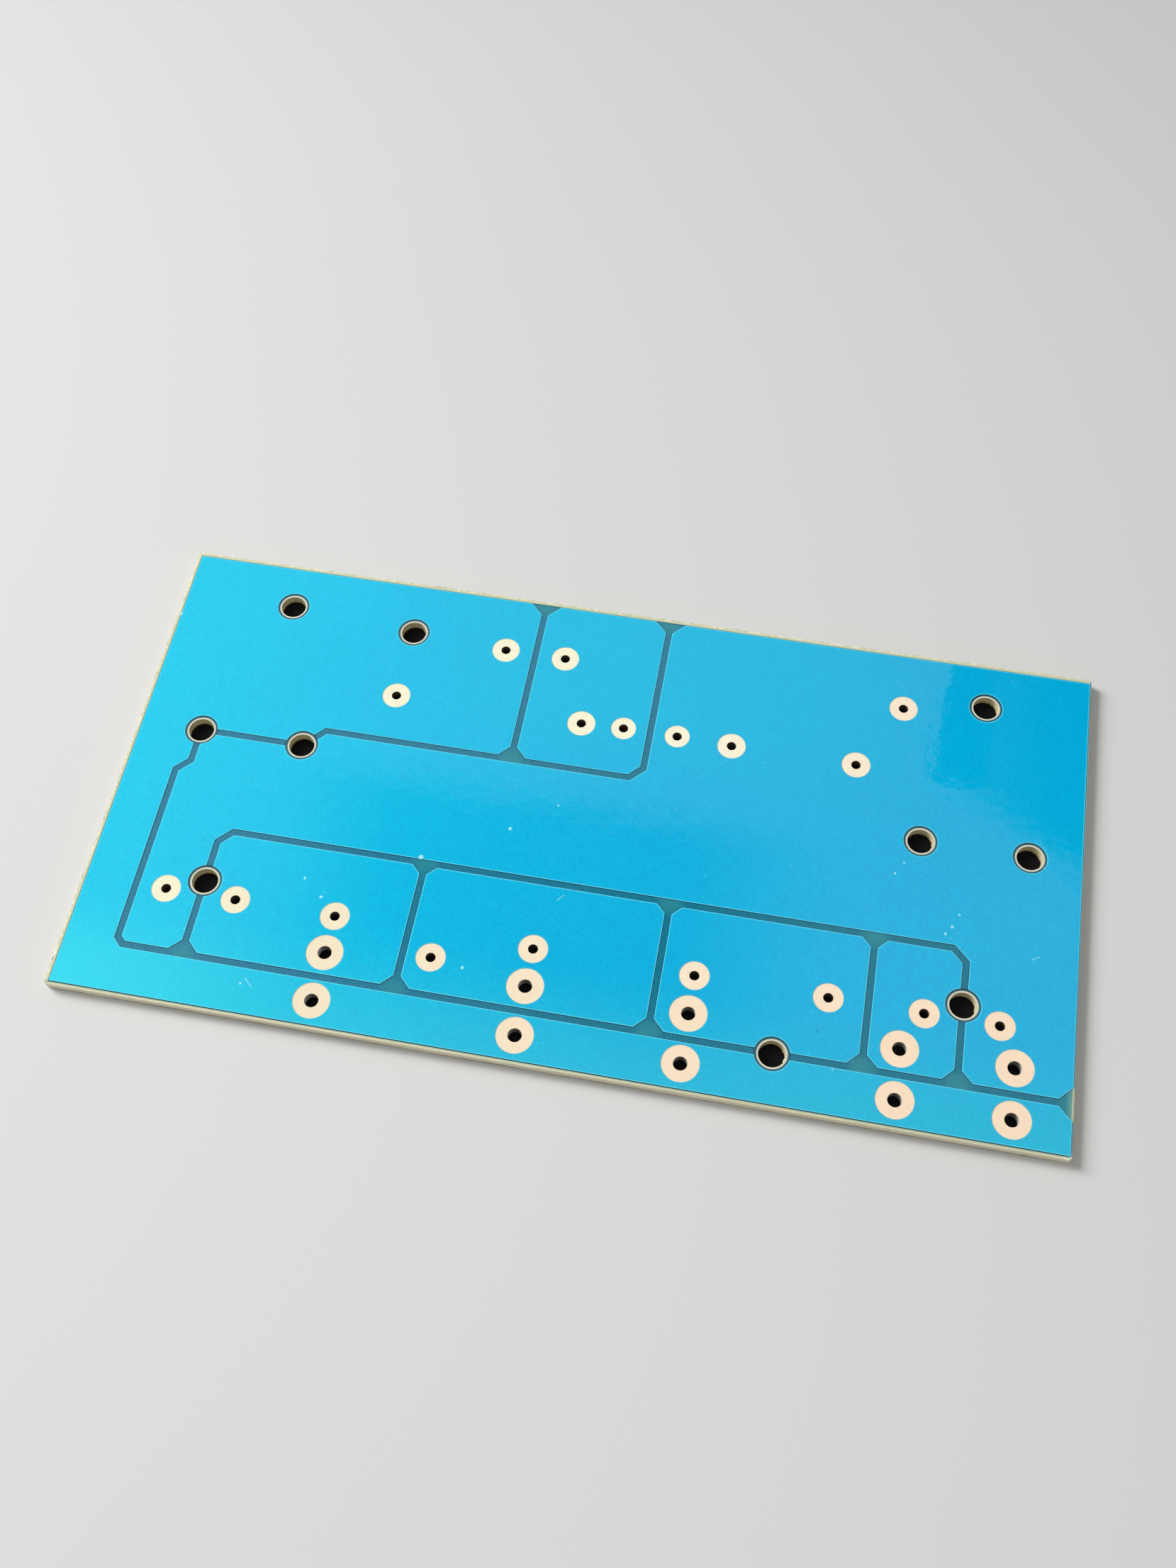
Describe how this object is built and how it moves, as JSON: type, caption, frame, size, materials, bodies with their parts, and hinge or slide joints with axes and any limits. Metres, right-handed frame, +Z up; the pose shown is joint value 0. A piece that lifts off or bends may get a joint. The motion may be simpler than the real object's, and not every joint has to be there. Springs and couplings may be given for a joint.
{
  "type": "crossover circuit board",
  "caption": "Bare single-sided loudspeaker crossover board: cream laminate plate, etched copper areas and a glossy blue solder mask open at its pads and tie holes.",
  "frame": {"origin": "middle of the board's underside", "axes": "+X along the board's long side, to the right as seen with the terminal row in front; +Y to the back; +Z up, out of the copper side"},
  "size_m": [0.149, 0.079, 0.0016],
  "materials": {
    "laminate": "bare glass laminate, satin, sawn edges",
    "copper": "bare copper under a thin clear organic coat, matte",
    "mask": "glossy blue solder mask film"
  },
  "bodies": {
    "root": {"board_laminate": "laminate", "common_copper": "copper", "link_copper": "copper", "input_copper": "copper", "output_1_copper": "copper", "output_2_copper": "copper", "output_3_copper": "copper", "output_4_copper": "copper", "solder_mask": "mask"}
  },
  "joints": []
}
